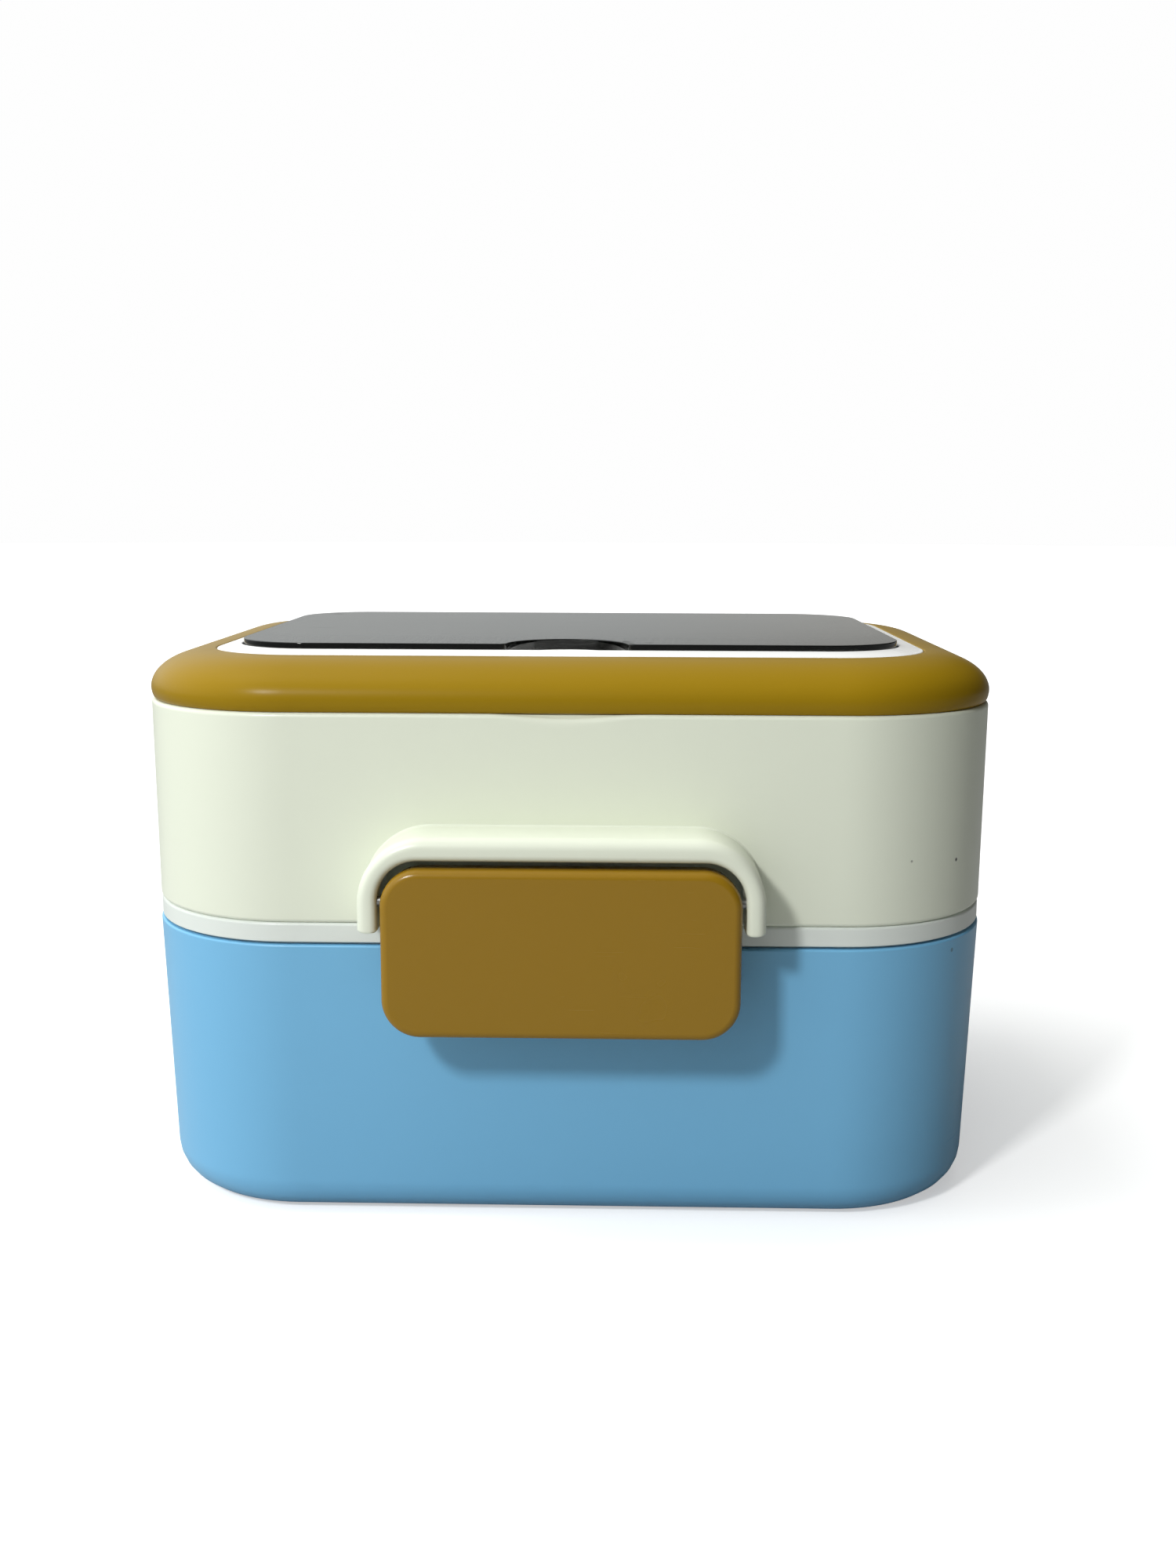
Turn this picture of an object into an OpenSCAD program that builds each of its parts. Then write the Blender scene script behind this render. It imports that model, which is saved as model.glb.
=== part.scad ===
/* [Box] */
// Width of the box at the lid, left to right
box_w = 190; // [180:1:200]
// Depth of the box at the lid, front to back, without the latches
box_d = 142; // [134:1:152]
// Plan corner radius at the lid
corner_r = 35.5; // [33:0.5:38]
// Wall thickness of both tiers
wall_t = 2.2; // [1.8:0.1:2.6]

/* [Heights] */
// Height of the lower tier's rim above the table
lower_h = 62.4; // [56:0.1:70]
// Height of the inner lid's visible band
band_h = 4.9; // [4.2:0.1:5.6]
// Height of the upper tier, from the inner lid to its rim
upper_h = 45.2; // [42:0.1:50]
// Rise of the lid frame from the rim to its top edge
dome_h = 10.8; // [10:0.1:12]

/* [Lower tier] */
// Inward lean of each lower wall over its height
lower_draft = 2; // [1:0.1:4]
// Radius between the lower wall and the base
base_fillet = 11; // [8:0.5:14]
// Thickness of both floors
floor_t = 2.4; // [2:0.1:3]

/* [Latch] */
// Width of the latch plate
latch_w = 74; // [66:0.5:75]
// Height of the latch plate
latch_h = 35.6; // [33:0.1:38]
// Thickness of the latch plate
latch_t = 3.6; // [3:0.1:4]
// Distance from the wall to the latch's outer face
latch_stand = 15; // [14.5:0.1:17]
// Corner radius of the latch plate
latch_corner = 8; // [6:0.1:9]
// Radius of the hinge pin
pin_r = 1; // [0.8:0.05:1.2]
// Radial clearance of the hinge pin
pin_gap = 0.05; // [0.03:0.01:0.08]

/* [Hood] */
// Width of the hood that shelters the latch
hood_w = 84; // [83:0.1:86]
// Thickness of the hood's legs
leg_t = 4.2; // [3.6:0.1:4.4]
// Distance from the wall to the hood's outer face
hood_stand = 13.3; // [13:0.1:13.8]

/* [Lid] */
// Distance from the lid's side to the white rim
rim_margin = 14.4; // [13.5:0.1:15]
// Plan corner radius of the white rim
rim_corner = 22; // [20:0.5:25]
// Width of the white rim
rim_w = 5.9; // [5.2:0.1:6.6]
// Plan corner radius of the smoked cover
cover_corner = 17.5; // [15:0.5:20]
// Thickness of the smoked cover
cover_t = 2.4; // [2:0.1:2.8]
// Radius of the thumb notch in the smoked cover
notch_r = 13.4; // [10:0.1:15]
// Depth of the cutlery tray below the cover
tray_deep = 10.5; // [9.5:0.1:11.5]

/* [Cutlery] */
// Length of the spoon and the fork
cutlery_l = 136; // [120:1:140]
// Distance of each from the recess's middle line
cutlery_y = 17.5; // [17:0.5:19]

/* [Hidden] */
$fn = 96;

eps = 0.01;
gap = 0.4;                                  // clearance between pieces that lift apart
seal_gap = 0.3;                             // clearance of a relaxed seal
lid_z = lower_h;                            // seam under the inner lid
upper_z = lower_h + band_h;                 // seam under the upper tier
rim_z = upper_z + upper_h;                  // seam under the lid
dome_z = rim_z + dome_h;                    // top edge of the lid frame
rim_rise = 0.9;                             // how far the white rim climbs inwards
cover_stand = 1.2;                          // how far the cover stands above the rim
cover_z = dome_z + rim_rise + cover_stand - cover_t;    // underside of the smoked cover
cover_margin = rim_margin + rim_w;          // from the lid's side to the cover
cover_front = cover_margin - box_d / 2;     // front edge of the cover
tray_z = cover_z - tray_deep;               // floor of the cutlery tray
recess_w = box_w - 2 * cover_margin - 3.6;
recess_d = 77;
recess_r = 15;
recess_mid = 10;                            // the recess lies behind the thumb notch
lip_z = dome_z - 3.4;                       // underside of the frame's inner lip
lip_margin = rim_margin - 3.6;
shoulder_h = 2.5;                           // height of the frame's tucked-in foot

// Tiers
lower_m = 0.2;                              // how far the lower rim stands in from the lid's side
upper_m = 0.05;                             // the same for the upper rim
upper_draft = 0.3;
upper_fillet = 1.2;
foot_h = 1.6;
lower_plug = lower_m + wall_t + gap + 0.2;  // from the lid's side to the inner lid's plug
lower_groove_z = lid_z - 4.6;
lid_plug = upper_m + wall_t + gap + 0.2;    // from the lid's side to the tray's base
seal_z = tray_z - 3.4;

// Latch and hood. The front latch is drawn, and the rear one is the same turned round.
wall_y = box_d / 2;
latch_bot = 46.9;
latch_top = latch_bot + latch_h;
latch_y = -wall_y - latch_stand;            // outer face of the latch
pin_y = latch_y + 4;                        // hinge axis
pin_z = latch_top - 7.3;
barrel_r = 3.4;
edge_r = 1.7;                               // round on the latch's upper edge
leg_bot = 68.7;
hood_lip = latch_top + 1.35;
hood_top = hood_lip + 4.9;
hood_corner = 14.2;
hood_inner_corner = 8.4;
knuckle_reach = 33.4;                       // outer end of the knuckles
catch_z = 56.5;                             // underside of the catch
catch_h = 2.8;
catch_out = 5.6;                            // how far the catch stands out of the wall
catch_w = 46;
hook_h = 2.6;
hook_w = 42;

// Places a half of a pair at the front, or turned round to the rear
module at_side(rear) {
    rotate([0, 0, rear ? 180 : 0]) children();
}

// Sweeps a profile round a rounded rectangle. In the profile, x is the distance
// from the corner's centre, and the space inside the corner centres is filled
// from z = low to z = high.
module around(w, d, r, low, high) {
    cx = w / 2 - r;
    cy = d / 2 - r;
    corners = [[cx, cy, 0], [-cx, cy, 90], [-cx, -cy, 180], [cx, -cy, 270]];
    for (c = corners)
        translate([c[0], c[1], 0])
            rotate([0, 0, c[2]])
                rotate_extrude(angle = 90) children();
    for (side = [0, 180]) {
        rotate([0, 0, side])
            translate([cx, cy, 0])
                rotate([90, 0, 0])
                    linear_extrude(height = 2 * cy) children();
        rotate([0, 0, side])
            translate([-cx, cy, 0])
                rotate([90, 0, 90])
                    linear_extrude(height = 2 * cx) children();
    }
    if (high > low)
        translate([-cx, -cy, low]) cube([2 * cx, 2 * cy, high - low]);
}

// Upright rounded rectangle
module slab(w, d, r, z0, z1) {
    around(w, d, r, z0, z1) translate([0, z0]) square([r, z1 - z0]);
}

// Upright rounded rectangle cut out of a larger one
module frame_ring(margin_out, margin_in, z0, z1) {
    difference() {
        slab(box_w - 2 * margin_out, box_d - 2 * margin_out, corner_r - margin_out, z0, z1);
        slab(box_w - 2 * margin_in, box_d - 2 * margin_in, corner_r - margin_in, z0 - 1, z1 + 1);
    }
}

// Profile of a leaning wall with a round at its foot
module cup_profile(r_top, z_top, r_foot, z_foot, fillet) {
    cz = z_foot + fillet;
    lean = atan((r_top - r_foot) / (z_top - cz));
    cx = r_foot - fillet;
    difference() {
        union() {
            polygon([
                [0, z_foot], [cx, z_foot], [cx, cz],
                [cx + fillet * cos(lean), cz - fillet * sin(lean)],
                [r_top, z_top], [0, z_top]
            ]);
            translate([cx, cz]) circle(r = fillet);
        }
        translate([-2 * fillet, z_foot - 1]) square([2 * fillet, z_top]);
    }
}

// Solid cup with leaning walls, used for the outside and the hollow of a tier
module cup(margin_top, z_top, margin_foot, z_foot, fillet) {
    w = box_w - 2 * margin_top;
    d = box_d - 2 * margin_top;
    r = corner_r - margin_top;
    around(w, d, r, z_foot, z_top)
        cup_profile(r, z_top, corner_r - margin_foot, z_foot, fillet);
}

module lower_tier() {
    color([0.42, 0.67, 0.82]) {
        difference() {
            cup(lower_m, lid_z, lower_m + lower_draft, 0, base_fillet);
            cup(lower_m + wall_t, lid_z + eps, lower_m + lower_draft + wall_t,
                floor_t, base_fillet - floor_t);
        }
        for (rear = [false, true])
            at_side(rear) catch();
    }
}

// Ledge on the lower wall that the latch's hook passes under
module catch() {
    root = wall_y - wall_t;
    translate([-catch_w / 2, -wall_y - catch_out, catch_z])
        cube([catch_w, wall_y + catch_out - root, catch_h]);
    for (x = [-1, 0, 1])
        translate([x * (catch_w / 2 - 1) - 1, 0, 0])
            rotate([90, 0, 90])
                linear_extrude(height = 2)
                    polygon([
                        [-wall_y - catch_out + 1, catch_z + catch_h],
                        [-root, catch_z + catch_h],
                        [-root, catch_z + catch_h + 2.6],
                        [-wall_y - 0.5, catch_z + catch_h + 2.6]
                    ]);
}

module lower_lid() {
    color([0.93, 0.95, 0.92]) difference() {
        union() {
            frame_ring(0.5, 12, lid_z, upper_z);
            frame_ring(lower_plug, lower_plug + 3.8, lid_z - 6.6, lid_z + eps);
            slab(box_w - 20, box_d - 20, corner_r - 10, lid_z, lid_z + 2.2);
        }
        // groove of the seal
        frame_ring(lower_plug - 1, lower_plug + 1.8, lower_groove_z, lower_groove_z + 2.8);
        // channel under the rim
        frame_ring(lower_plug + 3.8, 10, lid_z - 1, upper_z - 2.2);
    }
}

module lower_lid_seal() {
    color([0.86, 0.88, 0.86])
        frame_ring(lower_m + wall_t + seal_gap, lower_plug + 1.8,
            lower_groove_z, lower_groove_z + 2.8);
}

module upper_tier() {
    color([0.9, 0.91, 0.84]) difference() {
        union() {
            cup(upper_m, rim_z, upper_m + upper_draft, upper_z, upper_fillet);
            frame_ring(13, 16, upper_z - foot_h, upper_z + 1);
            for (rear = [false, true])
                at_side(rear) hood();
        }
        cup(upper_m + wall_t, rim_z + eps, upper_m + upper_draft + wall_t,
            upper_z + floor_t, upper_fillet + 2);
        finger_scoop();
        for (rear = [false, true])
            at_side(rear) pin_bar(1.2, -2, pin_r + pin_gap);
    }
}

// Shallow dip in the front of the rim, where a finger starts the lid
module finger_scoop() {
    scoop_w = 31;
    scoop_deep = 0.9;
    scoop_r = (scoop_w * scoop_w / 4 + scoop_deep * scoop_deep) / (2 * scoop_deep);
    translate([0, -wall_y - 1, rim_z + scoop_r - scoop_deep])
        rotate([-90, 0, 0])
            cylinder(r = scoop_r, h = 2.2, $fn = 360);
}

// Outline of the hood from the front, with its lower edge at z0
module hood_outline(w, top, corner, z0) {
    translate([-w / 2, z0]) square([w, top - corner - z0]);
    translate([-w / 2 + corner, z0]) square([w - 2 * corner, top - z0]);
    for (side = [-1, 1])
        translate([side * (w / 2 - corner), top - corner])
            intersection() {
                circle(r = corner);
                translate([-corner, 0]) square([2 * corner, corner]);
            }
}

// Arch on the upper wall: two legs and a top, open below and in front of the latch
module hood() {
    root = wall_y - wall_t / 2 - 1;
    depth = wall_y + hood_stand - root;
    translate([0, -root, 0])
        rotate([90, 0, 0])
            linear_extrude(height = depth)
                difference() {
                    hood_outline(hood_w, hood_top, hood_corner, leg_bot);
                    hood_outline(hood_w - 2 * leg_t, hood_lip, hood_inner_corner, leg_bot - 1);
                }
}

// Cylinder along the hinge axis, inset from the hood's two sides by the given lengths
module pin_bar(inset_a, inset_b, r) {
    translate([inset_a - hood_w / 2, pin_y, pin_z])
        rotate([0, 90, 0])
            cylinder(r = r, h = hood_w - inset_a - inset_b);
}

module hinge_pin(rear) {
    color([0.75, 0.76, 0.77])
        at_side(rear) pin_bar(1.4, 0.3, pin_r);
}

module latch(rear) {
    color([0.6, 0.45, 0.14]) at_side(rear) difference() {
        union() {
            latch_plate();
            latch_skirt();
            latch_barrels();
            latch_hook();
        }
        pin_bar(0, 0, pin_r + pin_gap);
    }
}

// Plate with rounded corners and a round all along its outer edge
module latch_plate() {
    translate([0, latch_y + latch_t, latch_bot + latch_h / 2])
        rotate([90, 0, 0])
            around(latch_w, latch_h, latch_corner, 0, latch_t) {
                square([latch_corner, latch_t - edge_r]);
                square([latch_corner - edge_r, latch_t]);
                translate([latch_corner - edge_r, latch_t - edge_r]) quarter_disc(edge_r);
            }
}

// Skirt behind the plate's upper edge and sides, which closes the gap under the hood
module latch_skirt() {
    inset = 0.6;
    skirt_t = 1.6;
    skirt_deep = 5;
    skirt_low = 60;
    r = latch_corner - inset;
    w = latch_w - 2 * inset;
    top = latch_top - inset;
    translate([0, latch_y + latch_t + skirt_deep, 0])
        rotate([90, 0, 0])
            linear_extrude(height = skirt_deep + 0.5)
                difference() {
                    hood_outline(w, top, r, skirt_low);
                    hood_outline(w - 2 * skirt_t, top - skirt_t, r - skirt_t, skirt_low - 1);
                }
}

module quarter_disc(r) {
    intersection() {
        circle(r = r);
        square([r, r]);
    }
}

// Knuckles round the hinge pin
module latch_barrels() {
    knuckle = 12;
    for (x = [-knuckle_reach, -knuckle / 2, knuckle_reach - knuckle])
        translate([x, pin_y, pin_z])
            rotate([0, 90, 0])
                cylinder(r = barrel_r, h = knuckle);
}

// Hook that reaches back towards the catch
module latch_hook() {
    hook_y = -wall_y - catch_out - gap;
    arm_z = catch_z - gap - hook_h;
    translate([-hook_w / 2, latch_y + latch_t - 1, arm_z])
        cube([hook_w, hook_y - latch_y - latch_t + 1, hook_h]);
    for (x = [-1, 0, 1])
        translate([x * (hook_w / 2 - 1) - 1, 0, 0])
            rotate([90, 0, 90])
                linear_extrude(height = 2)
                    polygon([
                        [latch_y + latch_t - 1, arm_z + 1],
                        [hook_y, arm_z + 1],
                        [hook_y - 3, arm_z + hook_h + 3],
                        [latch_y + latch_t - 1, arm_z + hook_h + 7]
                    ]);
}

// Rounded-rectangle opening of the lid for a given margin and corner radius
module opening(margin, r, z0, z1) {
    slab(box_w - 2 * margin, box_d - 2 * margin, r, z0, z1);
}

// Points of a dome edge from the side (x = out) to the top (z = top)
function dome_points(r, run, low, rise, steps) = [
    for (i = [0:steps])
        let (t = 90 * i / steps)
        [r - run * (1 - cos(t)), low + rise * sin(t)]
];

module dome(margin, low, rise) {
    r = corner_r - margin;
    run = rim_margin - margin;
    start = low - shoulder_h;
    around(box_w - 2 * margin, box_d - 2 * margin, r, start, low + rise)
        polygon(concat(
            [[0, start], [r - 1.2, start]],
            dome_points(r, run, low, rise, 9),
            [[0, low + rise]]
        ));
}

module lid_frame() {
    skin = 2.4;
    shoulder = rim_z + shoulder_h;
    color([0.63, 0.48, 0.15]) difference() {
        union() {
            dome(0, shoulder, dome_z - shoulder);
            frame_ring(1.2, 6, rim_z, shoulder);
        }
        // hollow under the dome, with a flat lip left above the tray's flange
        difference() {
            dome(skin, shoulder, dome_z - skin - shoulder);
            opening(lip_margin, corner_r - lip_margin, lip_z, dome_z);
        }
        opening(skin + 1.2, corner_r - skin - 1.2, rim_z - 1, shoulder);
        opening(rim_margin, rim_corner, rim_z, dome_z + 1);
    }
}

module cutlery_tray() {
    color([0.94, 0.95, 0.93]) difference() {
        union() {
            // base that plugs into the upper tier
            opening(lid_plug, corner_r - lid_plug, tray_z - 4.4, rim_z - 0.4);
            // flange under the frame's lip
            difference() {
                opening(rim_margin - 2.8, rim_corner + 2.8, lip_z - 2.2, lip_z);
                opening(rim_margin + 4, rim_corner - 4, lip_z - 3, lip_z + 1);
            }
            // walls of the recess
            recess(2, rim_z - 1, lip_z);
            // visible rim and the deck behind it
            rim_top();
        }
        // seat of the cover
        opening(cover_margin - gap, cover_corner + gap, cover_z, dome_z + 5);
        recess(0, tray_z, dome_z + 5);
        // hollow in the deck for the fingertip
        intersection() {
            translate([0, cover_front, cover_z - 4.5])
                cylinder(r = notch_r, h = 10);
            translate([-notch_r, cover_front + 1.8, cover_z - 5])
                cube([2 * notch_r, notch_r, 10]);
        }
        // hollow under the base
        opening(lid_plug + 3.8, corner_r - lid_plug - 3.8, tray_z - 5.4, tray_z - 2);
        // groove of the seal
        frame_ring(lid_plug - 1, lid_plug + 1.8, seal_z, seal_z + 2.6);
    }
}

// Recess that holds the cutlery, grown by a wall thickness
module recess(grow, z0, z1) {
    translate([0, recess_mid, 0])
        slab(recess_w + 2 * grow, recess_d + 2 * grow, recess_r + grow, z0, z1);
}

// Band between the frame and the cover, sloping up by rim_rise
module rim_top() {
    m = rim_margin + 0.15;
    r = rim_corner - 0.15;
    low = lip_z - 0.5;
    around(box_w - 2 * m, box_d - 2 * m, r, low, dome_z + rim_rise)
        polygon([
            [0, low], [r, low], [r, dome_z - 0.2],
            [r - 0.4, dome_z], [r - rim_w, dome_z + rim_rise], [0, dome_z + rim_rise]
        ]);
}

module lid_seal() {
    color([0.86, 0.88, 0.86])
        frame_ring(upper_m + wall_t + seal_gap, lid_plug + 1.8, seal_z, seal_z + 2.6);
}

module smoked_cover() {
    bevel = 0.4;
    m = cover_margin;
    r = cover_corner;
    top = cover_z + cover_t;
    color([0.25, 0.26, 0.25, 0.6]) difference() {
        around(box_w - 2 * m, box_d - 2 * m, r, cover_z, top)
            polygon([
                [0, cover_z], [r, cover_z], [r, top - bevel],
                [r - bevel, top], [0, top]
            ]);
        translate([0, cover_front, cover_z - 1])
            cylinder(r = notch_r, h = cover_t + 2);
        // hollow underside that leaves a rib along the edge
        difference() {
            opening(m + 3, r - 2, cover_z - 1, cover_z + 0.9);
            translate([0, cover_front, cover_z - 2])
                cylinder(r = notch_r + 2, h = cover_t + 3);
        }
    }
}

// Handle shared by the spoon and the fork, lying along X with its end at x = end
module handle(end, neck) {
    hull() {
        translate([end + 6, 0]) circle(r = 6, $fn = 32);
        translate([neck, 0]) circle(r = 3.2, $fn = 32);
    }
}

module spoon() {
    half = cutlery_l / 2;
    bowl_l = 44;
    bowl_w = 30;
    thick = 1.8;
    blank = 6.4;
    shell_r = 44;
    bowl_x = half - bowl_l / 2;
    side_r = (bowl_l * bowl_l + bowl_w * bowl_w) / (4 * bowl_w);
    color([0.63, 0.48, 0.15]) translate([0, recess_mid + cutlery_y, tray_z + 0.2]) {
        difference() {
            translate([bowl_x, 0, 0])
                linear_extrude(height = blank)
                    intersection() {
                        translate([0, side_r - bowl_w / 2]) circle(r = side_r);
                        translate([0, bowl_w / 2 - side_r]) circle(r = side_r);
                        circle(r = bowl_l / 2 - 1);
                    }
            translate([bowl_x, 0, shell_r + thick]) sphere(r = shell_r, $fn = 180);
            difference() {
                translate([bowl_x - bowl_l, -bowl_w, -1]) cube([2 * bowl_l, 2 * bowl_w, blank + 2]);
                translate([bowl_x, 0, shell_r]) sphere(r = shell_r, $fn = 180);
            }
        }
        translate([0, 0, 3]) linear_extrude(height = 2.6) handle(-half, bowl_x - bowl_l / 2 + 4);
    }
}

module fork() {
    half = cutlery_l / 2;
    head_w = 22;
    tine_l = 26;
    slot_w = 3;
    head_x = half - tine_l - 12;
    color([0.63, 0.48, 0.15])
        translate([0, recess_mid - cutlery_y, tray_z + 0.3])
            linear_extrude(height = 2.6)
                difference() {
                    union() {
                        handle(-half, head_x - 4);
                        translate([head_x, 0]) circle(r = head_w / 2);
                        translate([head_x, -head_w / 2]) square([half - head_x - 2, head_w]);
                    }
                    for (y = [-1, 0, 1])
                        translate([half - tine_l, y * (head_w + slot_w) / 4 - slot_w / 2])
                            square([tine_l + 1, slot_w]);
                }
}

lower_tier();
lower_lid();
lower_lid_seal();
upper_tier();
hinge_pin(false);  // front_hinge_pin
hinge_pin(true);  // rear_hinge_pin
latch(false);  // front_latch
latch(true);  // rear_latch
lid_frame();
cutlery_tray();
lid_seal();
smoked_cover();
spoon();
fork();
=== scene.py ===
import math

import bmesh
import bpy
from mathutils import Matrix, Vector

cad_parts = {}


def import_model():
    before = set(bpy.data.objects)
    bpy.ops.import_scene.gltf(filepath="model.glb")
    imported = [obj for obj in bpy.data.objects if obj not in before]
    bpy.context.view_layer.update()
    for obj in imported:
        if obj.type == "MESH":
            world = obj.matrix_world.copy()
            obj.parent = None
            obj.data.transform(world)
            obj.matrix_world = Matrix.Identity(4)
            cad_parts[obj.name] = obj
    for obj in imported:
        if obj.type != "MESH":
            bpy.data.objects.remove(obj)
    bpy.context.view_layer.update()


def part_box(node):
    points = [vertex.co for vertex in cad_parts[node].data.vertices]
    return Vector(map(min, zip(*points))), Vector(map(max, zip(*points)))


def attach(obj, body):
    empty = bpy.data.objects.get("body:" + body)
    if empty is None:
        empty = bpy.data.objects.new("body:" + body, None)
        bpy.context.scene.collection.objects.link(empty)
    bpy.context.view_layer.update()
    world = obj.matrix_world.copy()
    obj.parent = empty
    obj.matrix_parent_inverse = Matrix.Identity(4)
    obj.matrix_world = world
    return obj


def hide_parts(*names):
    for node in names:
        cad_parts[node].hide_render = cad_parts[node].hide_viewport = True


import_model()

MM = 0.001


# ---------------------------------------------------------------- sizes, in mm

def extent(node):
    """Lowest and highest corner of a CAD node, in mm."""
    low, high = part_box(node)
    return low / MM, high / MM


LID_LOW, LID_HIGH = extent("lid_frame")
BOWL_HIGH = extent("lower_tier")[1]
INNER_LOW, INNER_HIGH = extent("lower_lid")
UPPER_LOW = extent("upper_tier")[0]
TRAY_LOW, TRAY_HIGH = extent("cutlery_tray")
COVER_LOW, COVER_HIGH = extent("smoked_cover")
LATCH_LOW, LATCH_HIGH = extent("front_latch")
PIN_LOW, PIN_HIGH = extent("front_hinge_pin")
INNER_SEAL_LOW, INNER_SEAL_HIGH = extent("lower_lid_seal")
LID_SEAL_LOW, LID_SEAL_HIGH = extent("lid_seal")
SPOON_LOW, SPOON_HIGH = extent("spoon")
FORK_LOW, FORK_HIGH = extent("fork")

BOX_W = LID_HIGH.x - LID_LOW.x
BOX_D = LID_HIGH.y - LID_LOW.y
CORNER_R = 35.5
WALL_T = 2.2
FLOOR_T = 2.4
BOWL_Z = BOWL_HIGH.z            # rim of the lower tier
UPPER_Z = INNER_HIGH.z          # top of the inner lid's band
RIM_Z = LID_LOW.z               # rim of the upper tier
DOME_Z = LID_HIGH.z             # top edge of the lid frame
BOWL_M = 0.2                    # lower rim, in from the lid's side
UPPER_M = 0.05                  # upper rim, in from the lid's side
BOWL_DRAFT = 2.0                # how much the lower wall leans in towards its foot
UPPER_DRAFT = 0.3               # how much the upper wall leans in towards its foot
PLUG_GAP = 0.6                  # wall's inside to a lid's plug
PLUG_T = 3.8                    # thickness of that plug's wall
GROOVE_DEEP = 1.8               # depth of the seal's groove in the plug
INNER_GROOVE_H = 2.8            # height of the groove in the inner lid
LID_GROOVE_H = 2.6              # height of the groove in the lid
SHOULDER_H = 2.5                # height of the lid frame's tucked-in foot
LIP_H = 3.4                     # depth of the lid frame's inner lip
LIP_REACH = 3.6                 # width of that lip
SEAM_GAP = 0.6                  # shadow gap between the lower rim and the inner lid's band

RIM_MARGIN = 14.4               # lid's side to the white rim
RIM_CORNER = 22
COVER_MARGIN = COVER_LOW.x - LID_LOW.x
COVER_CORNER = 17.5
COVER_Z = COVER_LOW.z
COVER_FRONT = COVER_LOW.y
NOTCH_R = 13.4                  # thumb notch in the cover
RIM_TOP = TRAY_HIGH.z
TRAY_FLOOR = COVER_Z - 10.5
RECESS_SIZE = (BOX_W - 2 * COVER_MARGIN - 3.6, 77)      # width and depth of the cutlery's recess
RECESS_R = 15
RECESS_MID = 10                 # the recess lies this far back from the middle

WALL_Y = BOX_D / 2
LATCH_T = 3.6
KNUCKLE_L = 12
KNUCKLE_STARTS = (-33.4, -6, 21.4)
BORE_SLACK = 0.05               # a bore is this much larger in radius than its pin
HOOK_GAP = 0.4                  # clearance between hook and catch
LATCH_CORNER = 8
LATCH_W = 2 * LATCH_HIGH.x
LATCH_H = LATCH_HIGH.z - LATCH_LOW.z
PIN_R = (PIN_HIGH.z - PIN_LOW.z) / 2
PIN_Y = (PIN_HIGH.y + PIN_LOW.y) / 2
PIN_Z = (PIN_HIGH.z + PIN_LOW.z) / 2
BARREL_R = 3.4                  # the knuckles' outer radius
CATCH_Z = 56.5                  # underside of the catch ledge
CATCH_H = 2.8
CATCH_OUT = 5.6                 # how far the ledge stands out of the box's side
CATCH_W = 46
HOOK_H = 2.6
HOOK_W = 42

HOOD_W = 84
HOOD_LIP = LATCH_HIGH.z + 1.35  # underside of the hood's top
HOOD_TOP = HOOD_LIP + 4.9
HOOD_OUT = UPPER_LOW.y          # outer face of the front hood
LEG_T = 4.2                     # width of a hood leg
LEG_BOTTOM = 68.7
HOOD_CORNER = 14.2
HOOD_INNER_CORNER = 8.4

CORNER_STEPS = 22               # faces round each corner of the box
FRONT_STEPS = 84                # faces along the front, fine enough for the scoop
SIDE_STEPS = 14
ARC_STEPS = 6                   # faces round each small round


# ------------------------------------------------------------- shape functions

def rounded_rect(w, d, r, front_steps=FRONT_STEPS, centre=(0, 0)):
    """Points of a rounded rectangle, counterclockwise, always the same number."""
    r = max(r, 0.3)
    cx, cy = w / 2 - r, d / 2 - r
    sides = [
        ((-cx, -d / 2), (cx, -d / 2), front_steps, (cx, -cy), -90),
        ((w / 2, -cy), (w / 2, cy), SIDE_STEPS, (cx, cy), 0),
        ((cx, d / 2), (-cx, d / 2), SIDE_STEPS, (-cx, cy), 90),
        ((-w / 2, cy), (-w / 2, -cy), SIDE_STEPS, (-cx, -cy), 180),
    ]
    points = []
    for start, end, steps, corner, angle in sides:
        for i in range(steps):
            t = i / steps
            points.append((start[0] + (end[0] - start[0]) * t, start[1] + (end[1] - start[1]) * t))
        for i in range(CORNER_STEPS):
            a = math.radians(angle + 90 * i / CORNER_STEPS)
            points.append((corner[0] + r * math.cos(a), corner[1] + r * math.sin(a)))
    return [(x + centre[0], y + centre[1]) for x, y in points]


def box_ring(margin, z, corner=None):
    """Ring of points at a margin inside the box's outline."""
    r = CORNER_R - margin if corner is None else corner
    outline = rounded_rect(BOX_W - 2 * margin, BOX_D - 2 * margin, r)
    return [(x, y, z) for x, y in outline]


def rounded_path(path, closed=False):
    """Polyline through (a, b, radius) points, with an arc at each point that has a radius."""
    points = [(p[0], p[1], p[2] if len(p) > 2 else 0) for p in path]
    count = len(points)
    result = []
    for i, (a, b, radius) in enumerate(points):
        here = Vector((a, b))
        if radius == 0 or (not closed and i in (0, count - 1)):
            result.append((a, b))
            continue
        before = Vector(points[i - 1][:2]) - here
        after = Vector(points[(i + 1) % count][:2]) - here
        half = before.angle(after) / 2
        reach = radius / math.tan(half)
        reach = min(reach, 0.49 * before.length, 0.49 * after.length)
        radius = reach * math.tan(half)
        first = here + before.normalized() * reach
        last = here + after.normalized() * reach
        bisector = (before.normalized() + after.normalized()).normalized()
        middle = here + bisector * (radius / math.sin(half))
        start, turn = first - middle, (first - middle).angle_signed(last - middle)
        for k in range(ARC_STEPS + 1):
            t = -turn * k / ARC_STEPS
            spoke = Matrix.Rotation(t, 2) @ start
            result.append(tuple(middle + spoke))
    return result


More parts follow.
